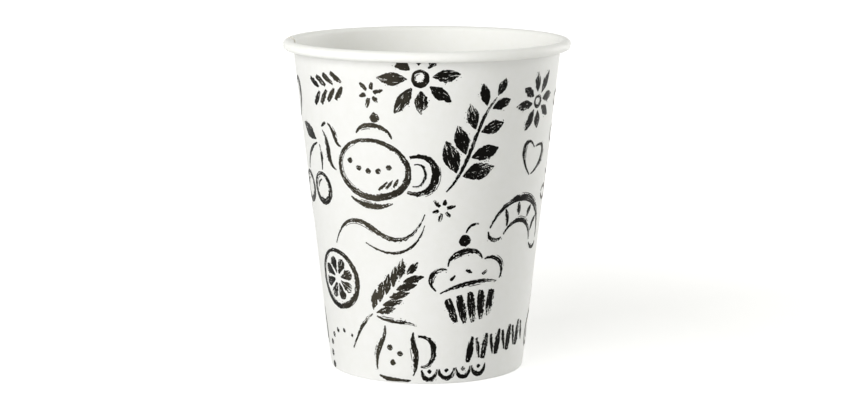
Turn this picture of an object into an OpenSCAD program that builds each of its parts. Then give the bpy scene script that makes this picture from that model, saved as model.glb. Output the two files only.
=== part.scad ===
// Single-wall paper hot cup, 80 mm across the rim and 92 mm tall.
// The wall is one sheet of board: rolled outwards at the rim, lapped down a side seam, and folded
// in and up at the foot, where it holds the skirt of a recessed base. The outside is printed with
// brush drawings in black ink.
// Origin: centre of the foot ring, on the table. +Z up. The front of the cup faces -Y.

/* [Cup] */
// Height from the table to the top of the rolled rim
cup_h = 92; // [75:1:115]
// Diameter across the rolled rim
rim_d = 80; // [72:1:92]
// Diameter across the foot
foot_d = 54; // [48:1:62]
// Thickness of the sidewall board
board = 0.35; // [0.28:0.01:0.45]

/* [Rolled rim] */
// Diameter of the roll's section
roll_d = 3.1; // [2.4:0.1:3.6]
// Free space between two turns of the roll
roll_gap = 0.15; // [0.1:0.01:0.2]
// How far the innermost turn goes on after one full turn, in degrees
roll_tail = 105; // [60:5:120]

/* [Foot and base] */
// Thickness of the base board
base_board = 0.35; // [0.28:0.01:0.45]
// Height of the base's underside above the table
recess = 7.5; // [6:0.5:12]
// Radius inside the bend between the base and its skirt
bend_r = 0.6; // [0.4:0.1:1.2]
// Free height between the folded edge and the base
fold_gap = 1.2; // [0.8:0.1:2]
// Sealing film between two layers of board
seal_gap = 0.03; // [0.02:0.01:0.05]
// Depth to which the fold is pressed flat, where the cup stands
foot_press = 0.08; // [0.04:0.01:0.12]

/* [Side seam] */
// Width of the lap at half height
lap_w = 7; // [5:0.5:9]
// Width of the slope where the outer layer comes down off the lap, at half height
slope_w = 4; // [3:0.5:6]
// Place of the seam, in degrees round from the front
seam_turn = 258; // [254:1:260]

/* [Print] */
// Thickness of the printed ink
ink_t = 0.06; // [0.05:0.01:0.08]
// Size of the drawings, against their usual size
drawing_size = 1; // [0.8:0.05:1.05]

/* [Hidden] */
$fn = 128;

// Wall frame: x is the distance outside the wall's outer face, y runs up along the wall from the foot.
roll_r = roll_d / 2;
fold_r = board + base_board / 2 + seal_gap;
roll_at = [rim_d / 2 - roll_r - foot_d / 2, cup_h - roll_r];
taper = acos((roll_r - board) / norm(roll_at)) - atan2(roll_at.y, roll_at.x);
roll_y = sqrt(norm(roll_at)^2 - (roll_r - board)^2);
fold_y = (fold_r * (1 - sin(taper)) - foot_press) / cos(taper);
fold_top_y = (recess - fold_gap) / cos(taper);

// How far two stretches of a section reach into each other where they join, as a length and as a turn
weld = 0.02;
turn_weld = 0.5;

// Roll: the second and third half turns are smaller, by what lets them pass inside the first.
roll_r2 = roll_r - (board + roll_gap) / 2;
roll_r3 = roll_r2 - (board + roll_gap) / 2;
under_roll_y = roll_y - roll_r2;

// Base: the bend's centre lies bend_r below the base, inside the skirt.
skirt_x = -board - seal_gap;
bend_x = skirt_x - base_board - bend_r;
bend_y = (recess - bend_r + bend_x * sin(taper)) / cos(taper);
base_r = foot_d / 2 + bend_x * cos(taper) + bend_y * sin(taper);

// Seam, in degrees from the middle of the lap: the cut edge, the lap's other side, the slope's end
mid_r = (rim_d + foot_d) / 4;
lap_end = lap_w / 2 / mid_r * 180 / PI;
slope_end = lap_end + slope_w / mid_r * 180 / PI;

// The drawings are set out for a wall of this height and mean radius, and are smaller on a smaller cup.
drawn_for = [91, 33.5];
drawing_scale = drawing_size * min(under_roll_y / drawn_for[0], mid_r / drawn_for[1]);
// Keeps the flats between two points of a stroke out of the round wall
ink_lift = 0.07;
// Turn that the ink keeps from the seam's cut edge
seam_clear = 0.3;

paper_white = "#f6f6f1";
inside_white = "#fbfbf7";
ink_black = "#15130f";

module on_wall() translate([foot_d / 2, 0]) rotate(-taper) children();

// Upright strip of the wall frame, x0 to x1 wide and y0 to y1 high
module strip(x0, x1, y0, y1) translate([x0, y0 - weld]) square([x1 - x0, y1 - y0 + 2 * weld]);

// Part of a ring from angle a0 to angle a1, at most half a turn
module ring_part(at, r, thick, a0, a1) {
  mid = (a0 + a1) / 2;
  from = 2 * r * direction(a0 - turn_weld);
  to = 2 * r * direction(a1 + turn_weld);
  translate(at) intersection() {
    difference() {
      circle(r);
      circle(r - thick);
    }
    polygon([[0, 0], from, from + 4 * r * direction(mid), to + 4 * r * direction(mid), to]);
  }
}

// The sheet's section: fold at the foot, straight wall, roll at the rim
module sheet_section() difference() {
  on_wall() {
    strip(-2 * fold_r, -2 * fold_r + board, fold_y, fold_top_y);
    ring_part([-fold_r, fold_y], fold_r, board, 180, 360);
    strip(-board, 0, fold_y, roll_y);
    ring_part([roll_r - board, roll_y], roll_r, board, 0, 180);
    ring_part([roll_gap + roll_r2, roll_y], roll_r2, board, 180, 360);
    ring_part([roll_gap + roll_r3, roll_y], roll_r3, board, 180 - roll_tail, 180);
  }
  translate([0, -fold_r]) square([rim_d, fold_r]);
}

// The base's section: tray, bend and turned-down skirt
module base_section() {
  translate([0, recess]) square([base_r + weld, base_board]);
  on_wall() {
    ring_part([bend_x, bend_y], bend_r + base_board, base_board, 0, 90 + taper);
    strip(skirt_x - base_board, skirt_x, fold_y, bend_y);
  }
}

// A point of the wall frame, turned round the cup by a from the front
function on_cup(x, y, a) = let (r = foot_d / 2 + x * cos(taper) + y * sin(taper))
  [r * sin(a), -r * cos(a), y * cos(taper) - x * sin(taper)];

// A wedge of board up the wall, between two edges that are each given as [inside, outside, turn]
module wedge(near, far, y0, y1) polyhedron(
  points = [
    on_cup(near[0], y0, near[2]), on_cup(near[1], y0, near[2]),
    on_cup(far[1], y0, far[2]), on_cup(far[0], y0, far[2]),
    on_cup(near[0], y1, near[2]), on_cup(near[1], y1, near[2]),
    on_cup(far[1], y1, far[2]), on_cup(far[0], y1, far[2])
  ],
  faces = [[0, 1, 2, 3], [7, 6, 5, 4], [0, 4, 5, 1], [1, 5, 6, 2], [2, 6, 7, 3], [3, 7, 4, 0]]
);

// A strip of the wall frame, turned round the cup from a0 to a1, both from the front
module turned_strip(x0, x1, y0, y1, a0, a1)
  rotate([0, 0, a0 - 90]) rotate_extrude(angle = a1 - a0) on_wall() strip(x0, x1, y0, y1);

// The lap's outer layer ends in a step on one side and slopes down into the wall on the other.
// Inside the cup, the inner layer's edge is a step, and the sheet slopes out to it.
module sidewall() color(paper_white) {
  edge_room = 0.1;
  inside = -1.5 * board;
  buried = -board / 3;
  difference() {
    rotate_extrude() sheet_section();
    rotate([0, 0, seam_turn])
      wedge([inside, -weld, lap_end], [inside, -board, slope_end], fold_top_y, under_roll_y);
  }
  rotate([0, 0, seam_turn]) {
    turned_strip(buried, board, fold_y, under_roll_y, -lap_end, lap_end);
    wedge([buried, board - weld, lap_end - turn_weld], [buried, -weld, slope_end],
      fold_y + edge_room, under_roll_y - edge_room);
  }
}

module base() color(inside_white) rotate_extrude() base_section();

// A drawing is a list of strokes, and a stroke is a list of stations along its line, each [x, y, width].
// Strokes of one drawing stay clear of each other, and each is a thin closed shell of ink.

function direction(a) = [cos(a), sin(a)];

function oval(rx, ry, a0, a1, n) = [for (i = [0:n])
  let (d = direction(a0 + (a1 - a0) * i / n)) [rx * d.x, ry * d.y]];

function moved(line, by) = [for (p = line) p + by];

// A curve that leaves p0 towards p1 and comes to p3 from p2
function curve(p0, p1, p2, p3, n = 6) = [for (i = [0:n]) let (t = i / n, u = 1 - t)
  u^3 * p0 + 3 * u^2 * t * p1 + 3 * u * t^2 * p2 + t^3 * p3];

// A brush stroke along a line, w wide in its middle and tip wide at its ends
function brush(line, w, tip = 0.4) = let (n = len(line) - 1)
  [for (i = [0:n]) [line[i].x, line[i].y, tip + (w - tip) * sin(180 * i / n)]];

// A short straight stroke that starts full and ends thin
function dash(from, to, w) = let (d = to - from)
  [for (s = [[0, 0.75], [0.45, 1.05], [1, 0.45]]) [from.x + d.x * s[0], from.y + d.y * s[0], w * s[1]]];

// A closed line round an oval, drawn heavier on its lower right
function ring(middle, rx, ry, w, n) = [for (i = [0:n]) let (t = 360 * (i % n) / n)
  [middle.x + rx * cos(t), middle.y + ry * sin(t), w * (1 + 0.3 * cos(t + 50))]];

function dot(middle, r, n = 3) = [for (i = [0:n]) let (t = 140 * i / n - 70)
  [middle.x + r * sin(t), middle.y, 2 * r * cos(t)]];

// A filled leaf from its stalk, l long and w wide, pointing in direction a
function leaf(stalk, a, l, w, n = 4) = [for (i = [0:n]) let (p = stalk + l * i / n * direction(a))
  [p.x, p.y, 0.3 + (w - 0.3) * sin(180 * i / n)]];

// A place along a line, at share t of its points
function along(line, t) = line[round(t * (len(line) - 1))];

teapot = concat(
  [
    ring([0, 0], 10.5, 8, 1.5, 22),
    brush(curve([-5.2, 9.3], [-4.2, 13.2], [4.2, 13.2], [5.4, 9.2]), 1.4),
    dot([0.2, 14.4], 1.4, 4),
    brush(curve([-10.4, 4.4], [-13, 4.6], [-12.6, 8.4], [-16, 9.9]), 1.3),
    brush(curve([-12.1, -2.6], [-16.8, -1.4], [-14.6, 5.4], [-18.4, 7.4]), 1.7),
    dash([-17, 10], [-18.8, 8.5], 0.9),
    brush(curve([10.7, 4.7], [20.4, 9], [20.2, -7.6], [10.5, -5], 12), 2.2, 0.8),
    brush(curve([11.9, 2.9], [16.2, 4.8], [16.2, -4], [11.8, -3.2], 7), 0.9),
    brush(curve([-6.2, -8.9], [-2.4, -11], [2.8, -11], [6.6, -8.8]), 1.7)
  ],
  [for (i = [0:2]) dash([2.4 + 2.1 * i, -5.6 + 0.7 * i], [4.8 + 1.5 * i, -2.9 + 0.6 * i], 0.8)],
  [for (i = [-2:2]) dot([3 * i - 1, 0.5 * i * i - 0.8], 0.85)]
);

muffin = concat(
  [for (i = [-2:2]) dash([3.7 * i, 0.2 - 0.2 * i * i], [2.7 * i, -9.4 + 0.25 * i * i], 2.5)],
  [
    brush(curve([-9.4, 1.6], [-4, 3.6], [4, 3.8], [9.6, 1.8], 8), 1.5),
    brush(curve([-10.6, 2.6], [-14.4, 7], [-9.4, 10.4], [-6.6, 8.8]), 1.5),
    brush(curve([-6.2, 9.8], [-5.2, 14.8], [4, 15], [5, 10.2]), 1.8),
    brush(curve([5.8, 9.8], [10, 11], [14, 6], [10.7, 2.4]), 1.5),
    dot([-0.2, 17], 1.9, 5),
    brush(curve([0.4, 19.3], [1.4, 21.4], [3, 21.8], [4.8, 21.4], 4), 0.9),
    dash([-5.8, 5.2], [-4.2, 6.6], 1),
    dash([-0.6, 7.6], [1.2, 6.4], 1),
    dash([4.6, 5.2], [6.4, 6], 1)
  ]
);

citrus = concat(
  [ring([0, 0], 8, 8, 1.4, 20)],
  [for (i = [0:7]) let (d = direction(45 * i + 8))
    [for (s = [[1.5, 0.5], [4.6, 3.1], [5.9, 2.3]]) [s[0] * d.x, s[0] * d.y, s[1]]]]
);

cherries = concat(
  [for (x = [-4.9, 4.9]) each [
    ring([x, x / 4 - 4], 4, 4, 1.4, 14),
    brush(moved(oval(2.2, 2.2, 100, 190, 3), [x, x / 4 - 4]), 0.8)
  ]],
  [
    brush(curve([-4.6, 0], [-3.6, 4.4], [-1.4, 7.6], [2.4, 9.6]), 1.1),
    brush(curve([5, 2.4], [5.2, 5], [4.8, 7.4], [3.6, 9.4]), 1.1),
    leaf([2, 10.6], 165, 9, 4)
  ]
);

croissant = concat(
  [
    brush(curve([-11, -4.2], [-9, 8.8], [9, 8.8], [11, -4.2], 12), 1.9),
    brush(curve([-6, -5.2], [-4, 1], [4, 1], [6, -5.2], 8), 1.3),
    brush(curve([-11.2, -5.2], [-10.6, -7.4], [-7.8, -7.6], [-6.6, -6], 4), 1.1),
    brush(curve([11.2, -5.2], [10.6, -7.4], [7.8, -7.6], [6.6, -6], 4), 1.1)
  ],
  [for (s = [-1, 1]) each [
    brush(curve([s * 7.7, 1.4], [s * 6.6, 0.6], [s * 6, -1], [s * 5.6, -2.8], 4), 1.2),
    brush(curve([s * 3, 4], [s * 2.8, 3], [s * 2.2, 1.6], [s * 2, 0.6], 4), 1.4)
  ]]
);

anise = concat(
  [for (i = [0:7]) leaf(2.6 * direction(45 * i), 45 * i + 6 * sin(160 * i), 5.6 + sin(100 * i), 2.6)],
  [ring([0, 0], 1.4, 1.4, 0.9, 8)]
);

flower = concat(
  [for (i = [0:5]) let (t = 60 * i) brush([for (p = curve([2.8, -0.8], [9, -4.4], [9, 4.4], [2.8, 0.8], 7))
    [p.x * cos(t) - p.y * sin(t), p.x * sin(t) + p.y * cos(t)]], 1.2)],
  [dot([0, 0], 1.5, 4)]
);

// A stalk l long with n pairs of filled leaves and one at its tip
function sprig(l, n, leaf_l, leaf_w) = let (
  stalk = curve([-l / 2, 0], [-l / 6, -l / 10], [l / 6, l / 10], [l / 2 - 1, 0], 4 * n)
) concat(
  [brush([for (i = [0:2:4 * n]) stalk[i]], 1.1)],
  [for (i = [0:n - 1], s = [-1, 1]) let (t = (i + 0.7) / (n + 0.2), a = s * (50 - 10 * t))
    leaf(along(stalk, t) + direction(s * 80), a, (1.1 - 0.5 * t) * leaf_l, (1.1 - 0.5 * t) * leaf_w)],
  [leaf([l / 2 - 0.4, 0], 0, 0.55 * leaf_l, 0.55 * leaf_w)]
);

// One side of an open leaf: it bulges by side between its stalk and its tip, and is moved by a share of that
function leaf_side(stalk, tip, side, shift) = let (
  line = curve(stalk, stalk + 0.3 * (tip - stalk) + side, stalk + 0.8 * (tip - stalk) + side, tip, 5)
) brush(moved(line, shift * side), 0.9);

// A swinging stalk with open leaves on alternate sides, and a berry across from each
function vine(l, n, leaf_l) = let (
  stalk = curve([-l / 2, -l / 9], [-l / 8, l / 4], [l / 8, -l / 4], [l / 2, l / 9], 4 * n)
) concat(
  [brush([for (i = [0:2:4 * n]) stalk[i]], 1.2)],
  [for (i = [0:n - 1]) let (
    s = i % 2 == 0 ? 1 : -1, p = stalk[4 * i + 2], on = stalk[4 * i + 3] - stalk[4 * i + 1],
    d = direction(atan2(on.y, on.x) + s * 62), q = p + 1.4 * d,
    side = 0.34 * leaf_l * [-s * d.y, s * d.x], tip = q + leaf_l * d
  ) each [
    leaf_side(q, tip, side, 0.05),
    leaf_side(q, tip, -side, 0.22),
    dot(p - 2.2 * d, 0.85)
  ]]
);

// An ear of grain on its stalk, with n pairs of grains
function wheat(l, n) = concat(
  [brush(curve([-l / 2, -1.6], [-l / 4, 0.6], [-l / 8, 0.4], [-0.06 * l, 0], 5), 1)],
  [for (i = [0:n - 1], s = [-1, 1])
    leaf([l * (0.42 * i / (n - 1)) - 0.02 * l, s * 0.6], s * 32, 0.2 * l, 2.1, 3)],
  [leaf([0.48 * l, 0], 0, 0.16 * l, 2, 3)]
);

heart = [
  brush(curve([-0.2, -5.2], [-9.6, 0.6], [-6.6, 8.8], [-0.4, 4], 8), 1.5),
  brush(curve([0.6, -4.8], [8.8, 0], [7.4, 8.8], [0.4, 4.2], 8), 1.8)
];

// Strokes that point away from a middle
function burst(r0, r1, n, w) = [for (i = [0:n - 1]) let (d = direction(360 / n * i + 15))
  dash(r0 * d, (r1 - 0.2 * r1 * (i % 2)) * d, w)];

// A bold row of n peaks, drawn stroke by stroke
function zigzag(w, h, n, line_w) = [for (i = [0:n - 1]) let (x = w * (i / n - 0.5), step = w / n) each [
  dash([x, -h / 2], [x + 0.36 * step, h / 2], line_w),
  dash([x + 0.66 * step, 0.4 * h], [x + 0.76 * step, -0.44 * h], 0.55 * line_w)
]];

// A row of hanging arcs with a dot in each
function scallops(w, n) = [for (i = [0:n - 1]) let (step = w / n, x = step * (i + 0.5) - w / 2) each [
  brush(moved(oval(step / 2 - 0.3, step * 0.6, 180, 360, 6), [x, 0]), 1.4),
  dot([x, -0.1 * step], 0.13 * step)
]];

// Nested angle strokes that point along x
function chevrons(h, n, w) = [for (i = [0:n - 1]) let (x = (i - n / 2) * 2 * w) each [
  dash([x - h / 4, h / 2], [x + h / 5, 0.4 * w], w),
  dash([x - h / 4, -h / 2], [x + h / 5, -0.4 * w], w)
]];

spoon = [
  ring([-11, 0], 4.6, 3.1, 1.3, 14),
  brush(moved(oval(2.6, 1.5, 110, 200, 3), [-11, 0]), 0.7),
  brush(curve([-5.2, 0.1], [-1, 0.9], [6, -0.7], [14, 0.3], 8), 2, 0.9)
];

cookie = concat(
  [ring([0, 0], 6.8, 6.6, 1.6, 18)],
  [for (i = [0:6]) dot(4.2 * direction(52 * i) * (i % 2 == 0 ? 1 : 0.6), 0.75 + 0.2 * (i % 3))],
  [brush(oval(8.8, 8.6, 205, 300, 6), 0.8)]
);

// A milk jug
jug = concat(
  [
    brush(curve([-4.4, 7], [-3.4, 3], [-7.2, -1], [-5.4, -7]), 1.5),
    brush(curve([4.2, 6.6], [3.8, 3], [7.2, -1], [5.6, -6.6]), 1.8),
    brush(curve([-7.2, 9.4], [-3.4, 7.8], [2, 10], [5, 8.6]), 1.2),
    brush(curve([-4.6, -8.5], [-1.5, -9.4], [2, -9.4], [5, -8.2]), 1.7),
    brush(curve([5.8, 5.6], [12.2, 7], [12, -4], [7.6, -3.6], 8), 1.6, 0.7)
  ],
  [for (p = [[-2.2, 0.6], [1, -0.6], [-0.8, -3.8]]) dot(p, 0.9)]
);

drop = [
  brush(curve([-0.3, 6], [-3.6, 0.4], [-5.4, -5.2], [-0.4, -5.4], 7), 1.2),
  brush(curve([0.4, 5.6], [2.8, 1], [5.8, -5.2], [0.4, -5.4], 7), 1.5)
];

// A row of beads along an arc, each smaller than the last
function beads(n, r, turn) = [for (i = [0:n - 1])
  dot(r * (direction(90 - turn * (i - n / 2)) - [0, 1]), 1.1 - 0.7 * i / n)];

// A long stroke that swings twice, and a thinner one beside it
function ribbon(l, h, w) = let (
  rise = curve([-l / 2, -h / 2], [-l / 3, h], [-l / 6, h], [0, 0], 7),
  fall = curve([0, 0], [l / 6, -h], [l / 3, -h], [l / 2, h / 2], 7),
  below = curve([-l / 8, -h / 3], [l / 10, -1.5 * h], [l / 3, -1.4 * h], [l / 2.1, h / 6], 8)
) [
  brush(concat(rise, [for (i = [1:7]) fall[i]]), w, 0.3),
  brush(moved(below, [0, -1.4]), 0.8, 0.3)
];

// Laying a drawing on the wall

// How far the seam lifts the paper at a turn round the cup
function seam_lift(turn) = let (t = turn - seam_turn)
  t < -lap_end || t > slope_end ? 0 : board * min(1, (slope_end - t) / (slope_end - lap_end));

// How far round the cup a distance x along the wall goes at height y, in degrees
function turned(x, y) = x / (foot_d / 2 + y * sin(taper)) * 180 / PI;

// The stations of a stroke from the last one before a window to the first one after it
function within(stroke, low, high) = let (
  seen = [for (i = [0:len(stroke) - 1]) let (s = stroke[i], t = turned(s.x, s.y))
    if (t > low.x && t < high.x && s.y > low.y && s.y < high.y) i]
) len(seen) == 0 ? [] : let (
  first = max(seen[0] - 1, 0),
  last = min(seen[len(seen) - 1] + 1, len(stroke) - 1)
) [for (i = [first:last]) stroke[i]];

// A drawing laid on at turn a and share h of the print's height: each stroke as [a, low, high, stations].
// It is cut off at the foot's bend and the roll, and at left and right, which are turns from its middle.
function laid(a, h, drawing, tilt = 0, size = 1, left = -90, right = 90) = let (
  k = size * drawing_scale,
  low = [left, fold_y], high = [right, under_roll_y - weld],
  place = function (p) [
    k * (p.x * cos(tilt) - p.y * sin(tilt)),
    h * under_roll_y + k * (p.x * sin(tilt) + p.y * cos(tilt)),
    k * p.z
  ]
) [for (stroke = drawing) let (s = within([for (p = stroke) place(p)], low, high))
  if (len(s) > 1) [a, low, high, s]];

// Strokes wider than this get a third row of points, so that they follow the wall
wide = 2.2;

function is_closed(s) = norm(s[0] - s[len(s) - 1]) < 0.01;

function columns(s) = max([for (p = s) p.z]) > wide ? 3 : 2;

function stations(s) = is_closed(s) ? len(s) - 1 : len(s);

// The points of a laid stroke: station by station, from its left side to its right, inner then outer
function stroke_points(laid_stroke) = let (
  low = laid_stroke[1], high = laid_stroke[2], s = laid_stroke[3], c = columns(s), n = stations(s)
) [for (i = [0:n - 1], j = [0:c - 1], x = [ink_lift, ink_lift + ink_t]) let (
  before = is_closed(s) ? s[(i + n - 1) % n] : s[max(i - 1, 0)],
  after = is_closed(s) ? s[(i + 1) % n] : s[min(i + 1, n - 1)],
  d = [after.x - before.x, after.y - before.y] / norm([after.x - before.x, after.y - before.y]),
  across = s[i].z * (0.5 - j / (c - 1)) * [-d.y, d.x],
  y = min(max(s[i].y + across.y, low.y), high.y),
  turn = laid_stroke[0] + min(max(turned(s[i].x + across.x, y), low.x), high.x)
) on_cup(x + seam_lift(turn), y, turn)];

// The faces of a stroke whose points start at number first
function stroke_faces(s, first) = let (
  c = columns(s), n = stations(s), last = is_closed(s) ? n - 1 : n - 2,
  at = function (i, j, k) first + ((i % n) * c + j) * 2 + k
) concat(
  [for (i = [0:last], j = [0:c - 2]) each [
    [at(i, j, 1), at(i + 1, j, 1), at(i + 1, j + 1, 1), at(i, j + 1, 1)],
    [at(i, j, 0), at(i, j + 1, 0), at(i + 1, j + 1, 0), at(i + 1, j, 0)]
  ]],
  [for (i = [0:last]) each [
    [at(i + 1, 0, 1), at(i, 0, 1), at(i, 0, 0), at(i + 1, 0, 0)],
    [at(i, c - 1, 1), at(i + 1, c - 1, 1), at(i + 1, c - 1, 0), at(i, c - 1, 0)]
  ]],
  is_closed(s) ? [] : [for (j = [0:c - 2]) each [
    [at(0, j, 1), at(0, j + 1, 1), at(0, j + 1, 0), at(0, j, 0)],
    [at(n - 1, j + 1, 1), at(n - 1, j, 1), at(n - 1, j, 0), at(n - 1, j + 1, 0)]
  ]]
);

module inked(strokes) polyhedron(
  points = [for (s = strokes) each stroke_points(s)],
  faces = [for (i = 0, first = 0; i < len(strokes);
    first = first + 2 * columns(strokes[i][3]) * stations(strokes[i][3]), i = i + 1)
    each stroke_faces(strokes[i][3], first)]
);

// The drawings on the front, on the sides and back, and on either side of the seam's cut edge
front_drawings = concat(
  laid(-26, 0.67, teapot, -6),
  laid(23, 0.285, muffin, 8, 0.9),
  laid(21, 0.75, sprig(30, 4, 9.4, 4.6), 62),
  laid(-54, 0.31, citrus, 10),
  laid(-28, 0.23, wheat(30, 5), 48),
  laid(54, 0.5, croissant, -14, 1.05),
  laid(57, 0.86, anise, 10, 1.05),
  laid(-67, 0.63, cherries, -10),
  laid(46, 0.12, zigzag(23, 7, 5, 1.9), 7),
  laid(-17, 0.103, jug, -8, 0.95),
  laid(16, 0.05, scallops(19, 4), 3),
  laid(-3, 0.95, anise, 5, 1.35),
  laid(7.5, 0.55, burst(1.2, 3.6, 6, 1)),
  laid(-46, 0.91, chevrons(7.5, 4, 1.6), 12),
  laid(-26, 0.48, ribbon(30, 5, 1.4), 10),
  laid(-63, 0.13, beads(7, 9, 22), 30),
  laid(-25, 0.9, burst(1.3, 4, 6, 1.2)),
  laid(58, 0.68, heart, -12, 0.85)
);

other_drawings = concat(
  laid(88, 0.7, vine(34, 5, 6), 82),
  laid(91, 0.25, spoon, 72, 1.1),
  laid(119, 0.86, cookie),
  laid(114, 0.52, flower, 0, 1.1),
  laid(112, 0.17, heart, 14, 1.1),
  laid(150, 0.61, muffin, -8, 0.9),
  laid(152, 0.2, zigzag(20, 7, 4, 2), -8),
  laid(168, 0.87, burst(1.3, 4, 6, 1.2)),
  laid(192, 0.76, cherries, 8),
  laid(200, 0.34, teapot, 8, 0.85),
  laid(219, 0.89, chevrons(8, 4, 1.7), -10),
  laid(228, 0.6, sprig(28, 3, 9, 4.4), -60),
  laid(238, 0.19, drop, 20),
  laid(276, 0.85, heart, 10),
  laid(273, 0.13, drop, -16)
);

seam_drawings = concat(
  laid(seam_turn - 2 * lap_end, 0.86, citrus, 0, 1, -90, lap_end - seam_clear),
  laid(seam_turn, 0.45, wheat(26, 4), 72, 1, seam_clear - lap_end, 90)
);

module print() color(ink_black) inked(concat(front_drawings, other_drawings, seam_drawings));

sidewall();
base();
print();
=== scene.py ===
import math

import bpy
import numpy as np
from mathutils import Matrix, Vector, noise


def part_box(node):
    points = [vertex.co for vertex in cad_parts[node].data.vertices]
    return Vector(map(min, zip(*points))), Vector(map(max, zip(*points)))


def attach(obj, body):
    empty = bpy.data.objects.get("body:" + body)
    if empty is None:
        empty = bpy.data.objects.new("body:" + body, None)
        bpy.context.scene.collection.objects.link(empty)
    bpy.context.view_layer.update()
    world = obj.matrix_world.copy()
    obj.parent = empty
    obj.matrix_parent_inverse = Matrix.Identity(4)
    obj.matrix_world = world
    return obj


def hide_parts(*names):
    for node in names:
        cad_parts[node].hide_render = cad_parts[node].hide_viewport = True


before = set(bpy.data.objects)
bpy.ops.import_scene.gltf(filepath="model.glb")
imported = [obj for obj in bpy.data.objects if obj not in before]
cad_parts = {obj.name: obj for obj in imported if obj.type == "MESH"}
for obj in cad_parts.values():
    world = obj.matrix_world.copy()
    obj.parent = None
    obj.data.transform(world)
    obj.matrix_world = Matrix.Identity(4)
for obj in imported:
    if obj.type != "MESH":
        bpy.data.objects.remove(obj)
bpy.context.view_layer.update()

MM = 0.001

# Sizes of the cup, in millimetres, with the roll's tail and the seam's place in degrees. The rim and the
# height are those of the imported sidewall.
low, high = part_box("sidewall")
RIM_D = round((high.x - low.x) / MM, 1)
CUP_H = round(high.z / MM, 1)
FOOT_D = 54
BOARD = 0.35
ROLL_D = 3.1
ROLL_GAP = 0.15
ROLL_TAIL = 105
BASE_BOARD = 0.35
RECESS = 7.5
BEND_R = 0.6
FOLD_GAP = 1.2
SEAL_GAP = 0.03
FOOT_PRESS = 0.08
LAP_W = 7
SLOPE_W = 4
SEAM_TURN = 258
INK_T = 0.03

# The wall's own frame: x is the distance outside its outer face, y runs up along it from the foot.
FOOT_R = FOOT_D / 2
ROLL_R = ROLL_D / 2
FOLD_R = BOARD + BASE_BOARD / 2 + SEAL_GAP
ROLL_AT = (RIM_D / 2 - ROLL_R - FOOT_R, CUP_H - ROLL_R)
TAPER = math.acos((ROLL_R - BOARD) / math.hypot(*ROLL_AT)) - math.atan2(ROLL_AT[1], ROLL_AT[0])
SIN, COS = math.sin(TAPER), math.cos(TAPER)
ROLL_Y = math.sqrt(math.hypot(*ROLL_AT) ** 2 - (ROLL_R - BOARD) ** 2)
FOLD_Y = (FOLD_R * (1 - SIN) - FOOT_PRESS) / COS
FOLD_TOP_Y = (RECESS - FOLD_GAP) / COS
ROLL_R2 = ROLL_R - (BOARD + ROLL_GAP) / 2
ROLL_R3 = ROLL_R2 - (BOARD + ROLL_GAP) / 2

# The seam, in radians along the sheet from its outer cut edge
MID_R = (RIM_D + FOOT_D) / 4
LAP = LAP_W / MID_R
SLOPE = SLOPE_W / MID_R
SHEET_START = math.radians(SEAM_TURN) - LAP / 2
# The lap lifts the sheet's outer layer by this many thicknesses of board.
LAP_BOARDS = 1.08

# Unevenness of the wall, in millimetres: its depth, the size of its waves round the cup and up the wall,
# and the heights over which it fades in above the foot and out below the roll
WALL_WAVE = 0.045
WAVE_ROUND = 17
WAVE_UP = 26
FOOT_FADE = 12
ROLL_FADE = 8


def wave(*place):
    """Smooth noise from -1 to 1, whose waves are about 1 long."""
    return noise.noise(Vector(place))


def smooth(t):
    """A smooth step: 0 up to t = 0, and 1 from t = 1 on."""
    t = min(max(t, 0), 1)
    return t * t * (3 - 2 * t)


def lap_lift(t):
    """How far the lap lifts the sheet's outer layer, t radians from its cut edge."""
    return BOARD * LAP_BOARDS * (1 - smooth((t - LAP) / SLOPE))


def wall_wave(t, y):
    """The slight unevenness of a paper wall, in millimetres."""
    turn = SHEET_START + t
    around = (MID_R * math.sin(turn), -MID_R * math.cos(turn))
    ends = smooth(y / FOOT_FADE) * smooth((ROLL_Y - y) / ROLL_FADE)
    return WALL_WAVE * ends * wave(around[0] / WAVE_ROUND, around[1] / WAVE_ROUND, y / WAVE_UP)


def on_cup(x, y, t):
    """The point of the wall's frame that lies t radians round from the sheet's cut edge, in metres."""
    r = FOOT_R + x * COS + y * SIN
    turn = SHEET_START + t
    return Vector((r * math.sin(turn), -r * math.cos(turn), y * COS - x * SIN)) * MM


# Modelling

# Faces that meet at a greater angle than this, in degrees, have a sharp edge between them.
SHARP_EDGE = 35
# Vertices closer than this, in millimetres, are merged.
SAME_PLACE = 0.02


def deselect():
    if bpy.context.object and bpy.context.object.mode != "OBJECT":
        bpy.ops.object.mode_set(mode="OBJECT")
    bpy.ops.object.select_all(action="DESELECT")


def select_only(piece):
    deselect()
    piece.select_set(True)
    bpy.context.view_layer.objects.active = piece


def extruded_line(name, points):
    """A line of edges in the XZ plane: one vertex, extruded from point to point."""
    deselect()
    bpy.ops.mesh.primitive_plane_add(size=MM, location=(points[0][0] * MM, 0, points[0][1] * MM))
    line = bpy.context.object
    line.name = name
    bpy.ops.object.transform_apply(location=True, rotation=True, scale=True)
    bpy.ops.object.mode_set(mode="EDIT")
    bpy.ops.mesh.select_all(action="SELECT")
    bpy.ops.mesh.merge(type="CENTER")
    for (r0, z0), (r1, z1) in zip(points, points[1:]):
        step = ((r1 - r0) * MM, 0, (z1 - z0) * MM)
        bpy.ops.mesh.extrude_region_move(TRANSFORM_OT_translate={"value": step})
    bpy.ops.mesh.select_all(action="SELECT")
    return line


def spun(line, turn, steps):
    """The line in edit mode spun round the cup's axis, from where it lies and towards +Y."""
    bpy.ops.mesh.spin(steps=steps, angle=turn, center=(0, 0, 0), axis=(0, 0, 1))
    bpy.ops.object.mode_set(mode="OBJECT")
    return line


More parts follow.
